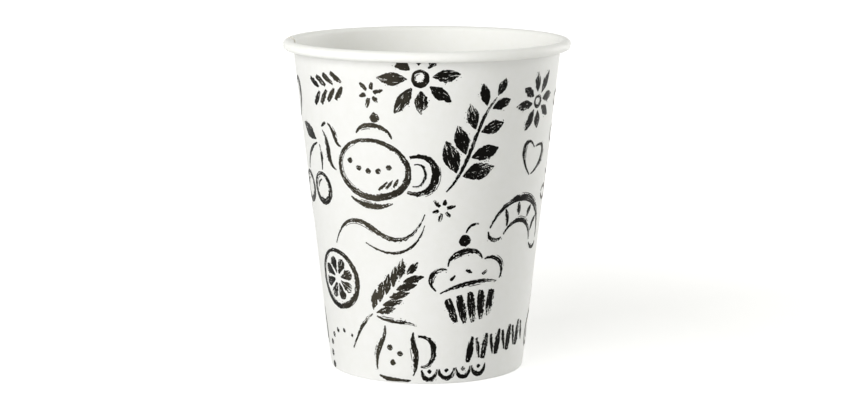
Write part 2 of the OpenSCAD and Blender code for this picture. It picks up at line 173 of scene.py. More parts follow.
def merge_same_places():
    """Merges what lies in one place in the active object, and leaves it in edit mode with all selected."""
    bpy.ops.object.mode_set(mode="EDIT")
    bpy.ops.mesh.select_all(action="SELECT")
    bpy.ops.mesh.remove_doubles(threshold=SAME_PLACE * MM)


def arc_line(centre, r, a0, a1, n, side):
    """Points of an arc in the wall's frame, each with the sheet's outward direction there."""
    out = []
    for i in range(n + 1):
        a = math.radians(a0 + (a1 - a0) * i / n)
        d = (math.cos(a), math.sin(a))
        out.append((centre[0] + r * d[0], centre[1] + r * d[1], side * d[0], side * d[1]))
    return out


def straight_line(x, y0, y1, n, side):
    """Points of a straight stretch up or down the wall, each with the sheet's outward direction."""
    return [(x, y0 + (y1 - y0) * i / n, side, 0) for i in range(n + 1)]


def to_section(x, y):
    """The radius and height of a point of the wall's frame."""
    return FOOT_R + x * COS + y * SIN, y * COS - x * SIN


def joined(*stretches):
    """Stretches of a line end to end, without the points that two of them share."""
    out = list(stretches[0])
    for s in stretches[1:]:
        out += s[1:] if math.dist(out[-1][:2], s[0][:2]) < SAME_PLACE / 2 else s
    return out


def thicken(piece, thickness, even=True):
    """Gives a sheet its thickness, inwards. Its back takes the second material and its edges the third."""
    sheet = piece.modifiers.new("board", "SOLIDIFY")
    sheet.thickness = thickness * MM
    sheet.offset = -1
    sheet.use_even_offset = even
    sheet.material_offset = 1
    sheet.material_offset_rim = 2
    select_only(piece)
    bpy.ops.object.modifier_apply(modifier="board")


def finished(piece, node):
    """Shades a piece smooth up to its sharp edges, and lets it stand for its node of the part."""
    select_only(piece)
    bpy.ops.object.shade_smooth_by_angle(angle=math.radians(SHARP_EDGE))
    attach(piece, "root")
    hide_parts(node)


# Materials

def new_material(name):
    m = bpy.data.materials.new(name)
    m.use_nodes = True
    m.node_tree.nodes.clear()
    return m, m.node_tree.nodes, m.node_tree.links


def noise_node(nodes, links, coords, scale, detail=3, roughness=0.55):
    n = nodes.new("ShaderNodeTexNoise")
    n.inputs["Scale"].default_value = scale
    n.inputs["Detail"].default_value = detail
    n.inputs["Roughness"].default_value = roughness
    links.new(coords, n.inputs["Vector"])
    return n.outputs["Fac"]


def ramp_node(nodes, links, fac, stops):
    r = nodes.new("ShaderNodeValToRGB")
    r.color_ramp.elements[0].position, r.color_ramp.elements[0].color = stops[0]
    r.color_ramp.elements[1].position, r.color_ramp.elements[1].color = stops[-1]
    for place, colour in stops[1:-1]:
        r.color_ramp.elements.new(place).color = colour
    links.new(fac, r.inputs["Fac"])
    return r.outputs["Color"]


def math_node(nodes, links, operation, *values):
    """A Math node whose inputs are linked to sockets or hold numbers."""
    m = nodes.new("ShaderNodeMath")
    m.operation = operation
    for socket, value in zip(m.inputs, values):
        if isinstance(value, (int, float)):
            socket.default_value = value
        else:
            links.new(value, socket)
    return m.outputs[0]


def background_rays(nodes, links):
    """1 for the rays that show the background as it is: the camera's, and those of a reflection or
    through something clear."""
    rays = nodes.new("ShaderNodeLightPath").outputs
    mirrored = math_node(nodes, links, "MAXIMUM", rays["Is Camera Ray"], rays["Is Glossy Ray"])
    return math_node(nodes, links, "MAXIMUM", mirrored, rays["Is Transmission Ray"])


def linear(*screen):
    """A colour given as it looks on a screen, red, green and blue from 0 to 255."""
    out = []
    for c in screen:
        c /= 255
        out.append(c / 12.92 if c < 0.04045 else ((c + 0.055) / 1.055) ** 2.4)
    return (*out, 1)


def surface(nodes, links, colour, height, roughness, specular, relief, depth):
    """A plain surface of that colour, with a relief whose depth is in millimetres."""
    bump = nodes.new("ShaderNodeBump")
    bump.inputs["Strength"].default_value = relief
    bump.inputs["Distance"].default_value = depth * MM
    links.new(height, bump.inputs["Height"])
    shader = nodes.new("ShaderNodeBsdfPrincipled")
    shader.inputs["Roughness"].default_value = roughness
    shader.inputs["Specular IOR Level"].default_value = specular
    links.new(colour, shader.inputs["Base Color"])
    links.new(bump.outputs["Normal"], shader.inputs["Normal"])
    out = nodes.new("ShaderNodeOutputMaterial")
    links.new(shader.outputs["BSDF"], out.inputs["Surface"])


# The paper's noise, in waves a metre: cloudy formation, fibres and a broader grain
FORMATION = 420
FIBRES = 5200
BROAD_GRAIN = 900
# The fibres are longer up the cup than across it.
FIBRE_STRETCH = (1, 1, 0.35)
# Height of the broader grain against that of the fibres, and the depth of both together in millimetres
BROAD_SHARE = 1.6
FIBRE_DEPTH = 0.012


def paper(name, light, dark, roughness, specular, fibre):
    """White board: a faint cloudy formation in its colour, and fibres in its surface."""
    m, nodes, links = new_material(name)
    coords = nodes.new("ShaderNodeTexCoord").outputs["Object"]
    cloud = noise_node(nodes, links, coords, FORMATION, detail=4)
    colour = ramp_node(nodes, links, cloud, [(0.35, dark), (0.65, light)])
    stretch = nodes.new("ShaderNodeMapping")
    stretch.inputs["Scale"].default_value = FIBRE_STRETCH
    links.new(coords, stretch.inputs["Vector"])
    fine = noise_node(nodes, links, stretch.outputs["Vector"], FIBRES, detail=3, roughness=0.7)
    broad = noise_node(nodes, links, coords, BROAD_GRAIN, detail=2)
    height = math_node(nodes, links, "MULTIPLY_ADD", broad, BROAD_SHARE, fine)
    surface(nodes, links, colour, height, roughness, specular, fibre, FIBRE_DEPTH)
    return m


# The ink's tone: a sheen painted into it in bands round the cup, which are shifted by the start angle in
# degrees, and clouds of thinner ink in waves a metre, each with its share
SHEEN_BANDS = 3
SHEEN_START = 90
SHEEN_SHARE = 0.5
CLOUDS = 260
CLOUD_SHARE = 0.7
# Where the ink leaves paper bare: streaks, in waves a millimetre along and across the stroke, how dry the
# stroke is, and grain in waves a metre. Their sum passes from ink to paper between the last two values.
STREAKS = (0.32, 3.2, 1)
DRY_SHARE = 0.23
GRAIN = 3000
GRAIN_SHARE = 0.5
INK_ENDS = 0.96
PAPER_STARTS = 0.97


def ink(name):
    """Black ink laid on with a brush: where the brush ran dry, paper shows in streaks along the stroke.
    In three broad bands round the cup a painted sheen makes it a lighter, warm grey, and clouds of
    thinner ink make it a dark grey here and there."""
    m, nodes, links = new_material(name)
    coords = nodes.new("ShaderNodeTexCoord").outputs["Object"]
    along = nodes.new("ShaderNodeUVMap")
    along.uv_map = "stroke"
    stretch = nodes.new("ShaderNodeMapping")
    stretch.inputs["Scale"].default_value = STREAKS
    links.new(along.outputs["UV"], stretch.inputs["Vector"])
    place = nodes.new("ShaderNodeSeparateXYZ")
    links.new(coords, place.inputs[0])
    # Painted sheen: the ink is lightest 30 degrees left of the front and darkest 30 degrees right of it, and
    # so on every 120 degrees round, as if the lamps were reflected there.
    front = math_node(nodes, links, "MULTIPLY", place.outputs["Y"], -1)
    turn = math_node(nodes, links, "ARCTAN2", place.outputs["X"], front)
    turned = math_node(nodes, links, "MULTIPLY_ADD", turn, SHEEN_BANDS, math.radians(SHEEN_START))
    painted_sheen = math_node(nodes, links, "MULTIPLY", math_node(nodes, links, "COSINE", turned), SHEEN_SHARE)
    cloud = noise_node(nodes, links, coords, CLOUDS, detail=3)
    thin_ink_and_sheen = math_node(nodes, links, "MULTIPLY_ADD", cloud, CLOUD_SHARE, painted_sheen)
    # The lighter, warm tones stand in for a sheen of the lamps; the darker ones are the ink's own.
    tones = [(0, linear(5, 4, 2)), (0.45, linear(16, 14, 10)), (0.95, linear(70, 66, 57))]
    ink_tone_and_sheen = ramp_node(nodes, links, thin_ink_and_sheen, tones)
    streak = noise_node(nodes, links, stretch.outputs["Vector"], 1, detail=2)
    grain = noise_node(nodes, links, coords, GRAIN, detail=2, roughness=0.6)
    dry = nodes.new("ShaderNodeAttribute")
    dry.attribute_name = "dry"
    level = math_node(nodes, links, "MULTIPLY_ADD", dry.outputs["Fac"], DRY_SHARE, streak)
    speckled = math_node(nodes, links, "MULTIPLY_ADD", grain, GRAIN_SHARE, level)
    bare = ramp_node(nodes, links, speckled, [(INK_ENDS, (0, 0, 0, 1)), (PAPER_STARTS, (1, 1, 1, 1))])
    mix = nodes.new("ShaderNodeMix")
    mix.data_type = "RGBA"
    mix.inputs["B"].default_value = linear(230, 230, 227)
    links.new(bare, mix.inputs["Factor"])
    links.new(ink_tone_and_sheen, mix.inputs["A"])
    surface(nodes, links, mix.outputs["Result"], grain,
            roughness=0.35, specular=0.05, relief=0.25, depth=0.01)
    return m


# The sidewall: one sheet, with its fold, its wall, its roll and its lap

LEG_POINTS = 6
FOLD_POINTS = 12
WALL_POINTS = 26
ROLL_POINTS = 14
TAIL_POINTS = 8
SHEET_STEPS = 480
# The fold's inner leg is crimped: number of crimps round the cup, and their depth in millimetres
CRIMPS = 96
CRIMP_DEPTH = 0.07
# Height over which the lap is pressed down on to the table at the fold, in millimetres
PRESSED = 0.6


def sheet_line():
    """The section of the sheet's printed face, from the end of its fold to the end of its roll."""
    leg = straight_line(-2 * FOLD_R, FOLD_TOP_Y, FOLD_Y, LEG_POINTS, -1)
    fold = arc_line((-FOLD_R, FOLD_Y), FOLD_R, 180, 360, FOLD_POINTS, 1)
    wall = straight_line(0, FOLD_Y, ROLL_Y, WALL_POINTS, 1)
    over = arc_line((ROLL_R - BOARD, ROLL_Y), ROLL_R - BOARD, 180, 0, ROLL_POINTS, -1)
    under = arc_line((ROLL_GAP + ROLL_R2, ROLL_Y), ROLL_R2 - BOARD, 0, -180, ROLL_POINTS, -1)
    tail = arc_line((ROLL_GAP + ROLL_R3, ROLL_Y), ROLL_R3 - BOARD, 180, 180 - ROLL_TAIL, TAIL_POINTS, -1)
    return joined(leg, fold, wall, over, under, tail)


def press_fold(piece, turns):
    """Presses the lap flat where the cup stands. turns is how far round the sheet each vertex lies."""
    for v in piece.data.vertices:
        if v.co.z < PRESSED * MM:
            t = turns[v.index % len(turns)]
            under = lap_lift(t % (2 * math.pi))
            own = max(v.co.z, -lap_lift(t) * MM)
            v.co.z = (own + under * MM) * PRESSED / (PRESSED + under)


def make_sidewall(printed, inside, cut_edge):
    line = sheet_line()
    turn = 2 * math.pi + LAP
    section = [to_section(x, y) for x, y, _, _ in line]
    piece = spun(extruded_line("sidewall_sheet", section), turn, SHEET_STEPS)
    # Each step of the spin holds the section's points once, in the same order.
    count = len(line)
    order = []
    for v in piece.data.vertices[:count]:
        place = (v.co.x / MM, v.co.z / MM)
        order.append(min(range(count), key=lambda i: math.dist(section[i], place)))
    turns = []
    for v in piece.data.vertices:
        i = order[v.index % count]
        x, y, nx, ny = line[i]
        t = turn * (v.index // count) / SHEET_STEPS
        out = lap_lift(t) + (wall_wave(t, y) if x == 0 else 0)
        if i < LEG_POINTS:
            out += CRIMP_DEPTH * math.cos(CRIMPS * t)
        v.co = on_cup(x + out * nx, y + out * ny, t)
        turns.append(t)
    for m in (printed, inside, cut_edge):
        piece.data.materials.append(m)
    # The printed face looks outwards.
    face = max(piece.data.polygons, key=lambda f: f.area)
    if face.normal.x * face.center.x + face.normal.y * face.center.y < 0:
        piece.data.flip_normals()
    thicken(piece, BOARD)
    press_fold(piece, turns)
    finished(piece, "sidewall")


# The base: a tray with a turned-down skirt

DISC_RINGS = 18
BEND_POINTS = 8
SKIRT_POINTS = 4
BASE_STEPS = 192
# The disc is slightly crowned and uneven, in millimetres, and both fade out over the last BEND_FADE before
# its bend.
CROWN = 0.22
BASE_WAVE_DEPTH = 0.05
BASE_WAVE_LENGTH = 14
BEND_FADE = 4


def make_base(under, inside, cut_edge):
    skirt_x = -BOARD - SEAL_GAP - BASE_BOARD
    bend_x = skirt_x - BEND_R
    bend_y = (RECESS - BEND_R + bend_x * SIN) / COS
    base_r = to_section(bend_x, bend_y)[0]
    disc = [(base_r * i / DISC_RINGS, RECESS) for i in range(DISC_RINGS + 1)]
    # The middle is a ring too small to see, which is merged into one vertex.
    disc[0] = (SAME_PLACE / 2, RECESS)
    bend = arc_line((bend_x, bend_y), BEND_R, 90 + math.degrees(TAPER), 0, BEND_POINTS, -1)
    skirt = straight_line(skirt_x, bend_y, FOLD_Y, SKIRT_POINTS, -1)
    line = disc + [to_section(x, y) for x, y, _, _ in joined(bend, skirt)][1:]
    piece = spun(extruded_line("base_tray", line), 2 * math.pi, BASE_STEPS)
    select_only(piece)
    merge_same_places()
    bpy.ops.mesh.normals_make_consistent(inside=False)
    bpy.ops.object.mode_set(mode="OBJECT")
    for v in piece.data.vertices:
        x, y, z = (c / MM for c in v.co)
        if z > RECESS - SAME_PLACE / 2:
            r = math.hypot(x, y)
            flat = smooth((base_r - r) / BEND_FADE)
            uneven = BASE_WAVE_DEPTH * wave(x / BASE_WAVE_LENGTH, y / BASE_WAVE_LENGTH, 3)
            v.co.z += flat * (CROWN * (1 - r / base_r) + uneven) * MM
    for m in (under, inside, cut_edge):
        piece.data.materials.append(m)
    # The underside looks down: the board's thickness lies above it.
    face = max((f for f in piece.data.polygons if f.center.z > 0.99 * RECESS * MM), key=lambda f: f.area)
    if face.normal.z > 0:
        piece.data.flip_normals()
    thicken(piece, BASE_BOARD)
    finished(piece, "base")


# The print: brush drawings. A drawing is a list of strokes, and a stroke is an array of stations along
# its line, each [x, y, width] in millimetres.

# Steps along a curve of a drawing
FINE = 20
# The height up the wall at which the roll's underside begins
UNDER_ROLL_Y = ROLL_Y - ROLL_R2
# The drawings are set out for a wall of this height and mean radius, and are smaller on a smaller cup.
DRAWN_FOR = (91, 33.5)
DRAWING_SCALE = min(UNDER_ROLL_Y / DRAWN_FOR[0], MID_R / DRAWN_FOR[1])
# Space between the ink's back and the wall, and between two stations of a laid stroke, in millimetres, and
# the turn that ink keeps from the seam's cut edge
INK_LIFT = 0.012
STATION = 0.32
SEAM_CLEAR = math.radians(0.3)


def direction(a):
    return np.array((math.cos(math.radians(a)), math.sin(math.radians(a))))


def curve(p0, p1, p2, p3, n=FINE):
    """A line that leaves p0 towards p1 and comes to p3 from p2."""
    t = np.linspace(0, 1, n + 1)[:, None]
    u = 1 - t
    p0, p1, p2, p3 = np.array((p0, p1, p2, p3), float)
    return u ** 3 * p0 + 3 * u * u * t * p1 + 3 * u * t * t * p2 + t ** 3 * p3


def oval(rx, ry, a0, a1):
    """Part of an oval's line, between two angles."""
    a = np.radians(np.linspace(a0, a1, FINE + 1))
    return np.stack((rx * np.cos(a), ry * np.sin(a)), 1)


def brush(line, w, tip=0.4):
    """A brush stroke along a line, w wide in its middle and tip wide at its ends."""
    t = np.linspace(0, 1, len(line))
    return np.column_stack((line, tip + (w - tip) * np.sin(np.pi * t)))


def dash(start, end, w):
    """A short straight stroke that starts full and ends thin."""
    t = np.linspace(0, 1, 9)[:, None]
    line = np.array(start) + (np.array(end) - np.array(start)) * t
    return np.column_stack((line, w * (0.75 + 1.46 * t - 1.76 * t * t)))


def ring(middle, rx, ry, w):
    """A closed line round an oval, drawn heavier on its lower right."""
    t = np.linspace(0, 2 * np.pi, 3 * FINE + 1)
    return np.column_stack((middle[0] + rx * np.cos(t), middle[1] + ry * np.sin(t),
                            w * (1 + 0.3 * np.cos(t + np.radians(50)))))


def dot(middle, r):
    """A short stroke that is as wide as a round dot at each of its stations."""
    t = np.radians(np.linspace(-78, 78, 11))
    return np.column_stack((middle[0] + r * np.sin(t), middle[1] + 0 * t, 2 * r * np.cos(t)))


def leaf(stalk, a, l, w):
    """A filled leaf from its stalk, l long and w wide, pointing in direction a."""
    t = np.linspace(0, 1, FINE + 1)
    middle = np.array(stalk) + l * t[:, None] * direction(a)
    return np.column_stack((middle, 0.3 + (w - 0.3) * np.sin(np.pi * t)))


def moved(line, by):
    return np.asarray(line) + np.array(by)


def turned_line(line, a):
    c, d = direction(a)
    return np.stack((line[:, 0] * c - line[:, 1] * d, line[:, 0] * d + line[:, 1] * c), 1)


def teapot():
    return [
        ring((0, 0), 10.5, 8, 1.5),
        brush(curve((-5.2, 9.3), (-4.2, 13.2), (4.2, 13.2), (5.4, 9.2)), 1.4),
        dot((0.2, 14.4), 1.4),
        brush(curve((-10.4, 4.4), (-13, 4.6), (-12.6, 8.4), (-16, 9.9)), 1.3),
        brush(curve((-12.1, -2.6), (-16.8, -1.4), (-14.6, 5.4), (-18.4, 7.4)), 1.7),
        dash((-17, 10), (-18.8, 8.5), 0.9),
        brush(curve((10.7, 4.7), (20.4, 9), (20.2, -7.6), (10.5, -5)), 2.2, 0.8),
        brush(curve((11.9, 2.9), (16.2, 4.8), (16.2, -4), (11.8, -3.2)), 0.9),
        brush(curve((-6.2, -8.9), (-2.4, -11), (2.8, -11), (6.6, -8.8)), 1.7),
    ] + [dash((2.4 + 2.1 * i, -5.6 + 0.7 * i), (4.8 + 1.5 * i, -2.9 + 0.6 * i), 0.8) for i in range(3)] \
      + [dot((3 * i - 1, 0.5 * i * i - 0.8), 0.85) for i in range(-2, 3)]


def muffin():
    return [dash((3.7 * i, 0.2 - 0.2 * i * i), (2.7 * i, -9.4 + 0.25 * i * i), 2.5) for i in range(-2, 3)] + [
        brush(curve((-9.4, 1.6), (-4, 3.6), (4, 3.8), (9.6, 1.8)), 1.5),
        brush(curve((-10.6, 2.6), (-14.4, 7), (-9.4, 10.4), (-6.6, 8.8)), 1.5),
        brush(curve((-6.2, 9.8), (-5.2, 14.8), (4, 15), (5, 10.2)), 1.8),
        brush(curve((5.8, 9.8), (10, 11), (14, 6), (10.7, 2.4)), 1.5),
        dot((-0.2, 17), 1.9),
        brush(curve((0.4, 19.3), (1.4, 21.4), (3, 21.8), (4.8, 21.4)), 0.9),
        dash((-5.8, 5.2), (-4.2, 6.6), 1),
        dash((-0.6, 7.6), (1.2, 6.4), 1),
        dash((4.6, 5.2), (6.4, 6), 1),
    ]


def segment(a):
    """One filled segment of a cut fruit, pointing in direction a."""
    along = np.linspace(1.5, 6.1, 12)
    wide = np.interp(along, (1.5, 4.6, 5.7, 6.1), (0.5, 3.1, 2.7, 1.5))
    return np.column_stack((along[:, None] * direction(a), wide))


def citrus():
    return [ring((0, 0), 8, 8, 1.4)] + [segment(45 * i + 8) for i in range(8)]


def cherries():
    out = []
    for x in (-4.9, 4.9):
        out += [ring((x, x / 4 - 4), 4, 4, 1.4), brush(moved(oval(2.2, 2.2, 100, 190), (x, x / 4 - 4)), 0.8)]
    return out + [
        brush(curve((-4.6, 0), (-3.6, 4.4), (-1.4, 7.6), (2.4, 9.6)), 1.1),
        brush(curve((5, 2.4), (5.2, 5), (4.8, 7.4), (3.6, 9.4)), 1.1),
        leaf((2, 10.6), 165, 9, 4),
    ]


def croissant():
    out = [
        brush(curve((-11, -4.2), (-9, 8.8), (9, 8.8), (11, -4.2)), 1.9),
        brush(curve((-6, -5.2), (-4, 1), (4, 1), (6, -5.2)), 1.3),
        brush(curve((-11.2, -5.2), (-10.6, -7.4), (-7.8, -7.6), (-6.6, -6)), 1.1),
        brush(curve((11.2, -5.2), (10.6, -7.4), (7.8, -7.6), (6.6, -6)), 1.1),
    ]
    for s in (-1, 1):
        out += [
            brush(curve((s * 7.7, 1.4), (s * 6.6, 0.6), (s * 6, -1), (s * 5.6, -2.8)), 1.2),
            brush(curve((s * 3, 4), (s * 2.8, 3), (s * 2.2, 1.6), (s * 2, 0.6)), 1.4),
        ]
    return out


def anise():
    out = [ring((0, 0), 1.4, 1.4, 0.9)]
    for i in range(8):
        sway = 6 * math.sin(math.radians(160 * i))
        out.append(leaf(2.6 * direction(45 * i), 45 * i + sway, 5.6 + math.sin(math.radians(100 * i)), 2.6))
    return out


def flower():
    petal = curve((2.8, -0.8), (9, -4.4), (9, 4.4), (2.8, 0.8))
    return [brush(turned_line(petal, 60 * i), 1.2) for i in range(6)] + [dot((0, 0), 1.5)]


def sprig(l, n, leaf_l, leaf_w):
    """A stalk l long with n pairs of filled leaves and one at its tip."""
    stalk = curve((-l / 2, 0), (-l / 6, -l / 10), (l / 6, l / 10), (l / 2 - 1, 0), 4 * n)
    out = [brush(stalk, 1.1)]
    for i in range(n):
        t = (i + 0.7) / (n + 0.2)
        size = 1.1 - 0.5 * t
        for s in (-1, 1):
            root = stalk[round(4 * n * t)] + direction(s * 80)
            out.append(leaf(root, s * (50 - 10 * t), size * leaf_l, size * leaf_w))
    return out + [leaf((l / 2 - 0.4, 0), 0, 0.55 * leaf_l, 0.55 * leaf_w)]


def vine(l, n, leaf_l):
    """A swinging stalk with open leaves on alternate sides, and a berry across from each."""
    stalk = curve((-l / 2, -l / 9), (-l / 8, l / 4), (l / 8, -l / 4), (l / 2, l / 9), 4 * n)
    out = [brush(stalk, 1.2)]
    for i in range(n):
        s = 1 if i % 2 == 0 else -1
        on = stalk[4 * i + 3] - stalk[4 * i + 1]
        d = direction(math.degrees(math.atan2(on[1], on[0])) + s * 62)
        root = stalk[4 * i + 2] + 1.4 * d
        tip = root + leaf_l * d
        for side, shift in ((s, 0.05), (-s, 0.22)):
            bulge = 0.34 * leaf_l * side * np.array((-d[1], d[0]))
            edge = curve(root, root + 0.3 * leaf_l * d + bulge, root + 0.8 * leaf_l * d + bulge, tip)
            out.append(brush(moved(edge, shift * bulge), 0.9))
        out.append(dot(stalk[4 * i + 2] - 2.2 * d, 0.85))
    return out


def wheat(l, n):
    """An ear of grain on its stalk, with n pairs of grains."""
    out = [brush(curve((-l / 2, -1.6), (-l / 4, 0.6), (-l / 8, 0.4), (-0.06 * l, 0)), 1)]
    for i in range(n):
        for s in (-1, 1):
            out.append(leaf((l * 0.42 * i / (n - 1) - 0.02 * l, s * 0.6), s * 32, 0.2 * l, 2.1))
    return out + [leaf((0.48 * l, 0), 0, 0.16 * l, 2)]


def heart():
    return [
        brush(curve((-0.2, -5.2), (-9.6, 0.6), (-6.6, 8.8), (-0.4, 4)), 1.5),
        brush(curve((0.6, -4.8), (8.8, 0), (7.4, 8.8), (0.4, 4.2)), 1.8),
    ]


def burst(r0, r1, n, w):
    """Strokes that point away from a middle."""
    out = []
    for i in range(n):
        d = direction(360 / n * i + 15)
        out.append(dash(r0 * d, (r1 - 0.2 * r1 * (i % 2)) * d, w))
    return out


def zigzag(w, h, n, line_w):
    """A bold row of n peaks, drawn stroke by stroke."""
    out = []
    step = w / n
    for i in range(n):
        x = w * (i / n - 0.5)
        out += [
            dash((x, -h / 2), (x + 0.36 * step, h / 2), line_w),
            dash((x + 0.66 * step, 0.4 * h), (x + 0.76 * step, -0.44 * h), 0.55 * line_w),
        ]
    return out


def scallops(w, n):
    """A row of hanging arcs with a dot in each."""
    out = []
    step = w / n
    for i in range(n):
        x = step * (i + 0.5) - w / 2
        arc = oval(step / 2 - 0.3, step * 0.6, 180, 360)
        out += [brush(moved(arc, (x, 0)), 1.4), dot((x, -0.1 * step), 0.13 * step)]
    return out


def chevrons(h, n, w):
    """Nested angle strokes that point along x."""
    out = []
    for i in range(n):
        x = (i - n / 2) * 2 * w
        out += [dash((x - h / 4, s * h / 2), (x + h / 5, s * 0.4 * w), w) for s in (1, -1)]
    return out


def spoon():
    return [
        ring((-11, 0), 4.6, 3.1, 1.3),
        brush(moved(oval(2.6, 1.5, 110, 200), (-11, 0)), 0.7),
        brush(curve((-5.2, 0.1), (-1, 0.9), (6, -0.7), (14, 0.3)), 2, 0.9),
    ]


def cookie():
    out = [ring((0, 0), 6.8, 6.6, 1.6)]
    for i in range(7):
        out.append(dot(4.2 * direction(52 * i) * (1 if i % 2 == 0 else 0.6), 0.75 + 0.2 * (i % 3)))
    return out + [brush(oval(8.8, 8.6, 205, 300), 0.8)]


def jug():
    """A milk jug."""
    return [
        brush(curve((-4.4, 7), (-3.4, 3), (-7.2, -1), (-5.4, -7)), 1.5),
        brush(curve((4.2, 6.6), (3.8, 3), (7.2, -1), (5.6, -6.6)), 1.8),
        brush(curve((-7.2, 9.4), (-3.4, 7.8), (2, 10), (5, 8.6)), 1.2),
        brush(curve((-4.6, -8.5), (-1.5, -9.4), (2, -9.4), (5, -8.2)), 1.7),
        brush(curve((5.8, 5.6), (12.2, 7), (12, -4), (7.6, -3.6)), 1.6, 0.7),
    ] + [dot(p, 0.9) for p in ((-2.2, 0.6), (1, -0.6), (-0.8, -3.8))]


def drop():
    return [
        brush(curve((-0.3, 6), (-3.6, 0.4), (-5.4, -5.2), (-0.4, -5.4)), 1.2),
        brush(curve((0.4, 5.6), (2.8, 1), (5.8, -5.2), (0.4, -5.4)), 1.5),
    ]


def beads(n, r, turn):
    """A row of beads along an arc, each smaller than the last."""
    out = []
    for i in range(n):
        place = r * (direction(90 - turn * (i - n / 2)) - np.array((0, 1)))
        out.append(dot(place, 1.1 - 0.7 * i / n))
    return out


def ribbon(l, h, w):
    """A long stroke that swings twice, and a thinner one beside it."""
    rise = curve((-l / 2, -h / 2), (-l / 3, h), (-l / 6, h), (0, 0))
    fall = curve((0, 0), (l / 6, -h), (l / 3, -h), (l / 2, h / 2))
    below = curve((-l / 8, -h / 3), (l / 10, -1.5 * h), (l / 3, -1.4 * h), (l / 2.1, h / 6))
    return [brush(np.vstack((rise, fall[1:])), w, 0.3), brush(moved(below, (0, -1.4)), 0.8, 0.3)]


# Each drawing's place, as a turn round from the front and a share of the print's height, then the drawing,
# its tilt and its size. Angles are in degrees.
FRONT_DRAWINGS = [
    (-26, 0.67, teapot(), -6, 1),
    (23, 0.285, muffin(), 8, 0.9),
    (21, 0.75, sprig(30, 4, 9.4, 4.6), 62, 1),
    (-54, 0.31, citrus(), 10, 1),
    (-28, 0.23, wheat(30, 5), 48, 1),
    (54, 0.5, croissant(), -14, 1.05),
    (57, 0.86, anise(), 10, 1.05),
    (-67, 0.63, cherries(), -10, 1),
    (46, 0.12, zigzag(23, 7, 5, 1.9), 7, 1),
    (-17, 0.103, jug(), -8, 0.95),
    (16, 0.05, scallops(19, 4), 3, 1),
    (-3, 0.95, anise(), 5, 1.35),
    (7.5, 0.55, burst(1.2, 3.6, 6, 1), 0, 1),
    (-46, 0.91, chevrons(7.5, 4, 1.6), 12, 1),
    (-26, 0.48, ribbon(30, 5, 1.4), 10, 1),
    (-63, 0.13, beads(7, 9, 22), 30, 1),
    (-25, 0.9, burst(1.3, 4, 6, 1.2), 0, 1),
    (58, 0.68, heart(), -12, 0.85),
]
OTHER_DRAWINGS = [
    (88, 0.7, vine(34, 5, 6), 82, 1),
    (91, 0.25, spoon(), 72, 1.1),
    (119, 0.86, cookie(), 0, 1),
    (114, 0.52, flower(), 0, 1.1),
    (112, 0.17, heart(), 14, 1.1),
    (150, 0.61, muffin(), -8, 0.9),
    (152, 0.2, zigzag(20, 7, 4, 2), -8, 1),
    (168, 0.87, burst(1.3, 4, 6, 1.2), 0, 1),
    (192, 0.76, cherries(), 8, 1),
    (200, 0.34, teapot(), 8, 0.85),
    (219, 0.89, chevrons(8, 4, 1.7), -10, 1),
    (228, 0.6, sprig(28, 3, 9, 4.4), -60, 1),
    (238, 0.19, drop(), 20, 1),
    (276, 0.85, heart(), 10, 1),
    (273, 0.13, drop(), -16, 1),
    (SEAM_TURN - math.degrees(LAP), 0.86, citrus(), 0, 1),
    (SEAM_TURN, 0.45, wheat(26, 4), 72, 1),
]


def laid(turn, share, drawing, tilt, size):
    """A drawing's strokes as stations on the unrolled wall: distance from its middle, height and width."""
    k = size * DRAWING_SCALE
    c, d = direction(tilt) * k
    out = []
    for stroke in drawing:
        x, y, w = stroke.T
        out.append(np.column_stack((c * x - d * y, share * UNDER_ROLL_Y + d * x + c * y, k * w)))
    return out


def side_of_seam(turn):
    """1 for a drawing just past the seam's cut edge, -1 for one just before it, and 0 for the others."""
    past = math.radians(turn) - SHEET_START
    return 0 if abs(past) > 1 else math.copysign(1, past)


def inside_runs(stroke, turn):
    """The stretches of a stroke that lie between the fold and the roll, and on one side of the seam."""
    r = FOOT_R + stroke[:, 1] * SIN
    seen = (stroke[:, 1] > FOLD_Y) & (stroke[:, 1] < UNDER_ROLL_Y)
    side = side_of_seam(turn)
    if side:
        past = side * (math.radians(turn) - SHEET_START + stroke[:, 0] / r)
        seen &= past > SEAM_CLEAR - 0.35 * stroke[:, 2] / r
    edges = np.flatnonzero(np.diff(np.concatenate(((0,), seen.astype(int), (0,)))))
    return [stroke[a:b] for a, b in zip(edges[::2], edges[1::2]) if b - a > 2]


def resampled(stroke, step):
    """The stroke with stations an even step apart, and the distance of each along it."""
    gaps = np.hypot(*np.diff(stroke[:, :2], axis=0).T)
    s = np.concatenate(((0,), np.cumsum(gaps)))
    at = np.linspace(0, s[-1], max(4, round(s[-1] / step) + 1))
    return np.column_stack([np.interp(at, s, stroke[:, i]) for i in range(3)]), at


# A stroke's ragged edge. It is deeper on a wider stroke, up to RAGGED_W, and on the stroke's dry side, and a
# stroke narrower than NARROW_W has less of it.
RAGGED = 0.05
RAGGED_W = 2.4
NARROW_W = 0.6
DRY_SIDE = 1.9
WET_SIDE = 0.8
# Space that ink keeps from the fold and from the roll
FOLD_CLEAR = 0.05
ROLL_CLEAR = 0.02


def rough(s, seed, w, dry_side):
    """How far a ragged edge stands off its line at a distance s along it, for a stroke w wide."""
    fine = wave(s * 2.3, seed, 0.5)
    coarse = wave(s * 0.55, seed, 7.5)
    nick = min(0, wave(s * 1.3, seed, 3.5) + 0.3)
    ragged = (RAGGED + RAGGED * min(w, RAGGED_W)) * (1.4 * fine + 0.8 * coarse + 2.6 * nick)
    return ragged * (DRY_SIDE if dry_side else WET_SIDE) * min(1, w / NARROW_W)


def dry_side_of(number):
    """The side of a stroke on which the brush is drier: 1 is its left."""
    return 1 if wave(number * 0.77, 0.5, 4.5) > 0 else -1


# Loose ink lies beside strokes that are at least this wide and long, and a bristle's line only beside
# those that are less wide than this share of their length.
LOOSE_W = 1.1
LOOSE_L = 5
LONG_SHAPE = 0.3
